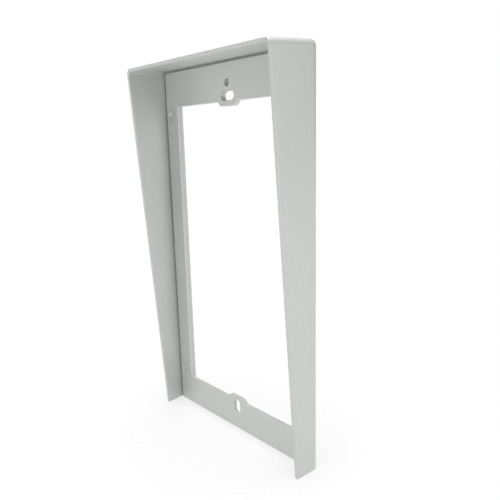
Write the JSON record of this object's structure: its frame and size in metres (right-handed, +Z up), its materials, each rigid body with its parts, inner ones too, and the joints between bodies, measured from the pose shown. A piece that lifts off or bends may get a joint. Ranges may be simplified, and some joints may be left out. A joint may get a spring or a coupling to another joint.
{
  "type": "video doorbell rain hood",
  "caption": "Wall-mounted sheet-metal rain hood and open frame that a video doorbell screws into, with a canopy, tapered side wings and a slotted mounting plate.",
  "frame": {"origin": "on the wall plane, on the centre line, 8.2 mm under the canopy's rear top edge, on its lip: the mount wall_face", "axes": "+Z up along the frame's height, +Y into the wall, +X to the right as seen from the front"},
  "size_m": [0.1, 0.0246, 0.1803],
  "materials": {
    "hood_paint": "satin silver-grey powder coat on bent sheet",
    "plate_paint": "satin silver-grey powder coat on flat sheet",
    "rivet_paint": "satin silver-grey powder coat over flush rivets"
  },
  "bodies": {
    "root": {"hood_shell": "hood_paint", "mounting_plate": "plate_paint", "rivet_upper_left": "rivet_paint", "rivet_upper_right": "rivet_paint", "rivet_lower_left": "rivet_paint", "rivet_lower_right": "rivet_paint"}
  },
  "joints": []
}
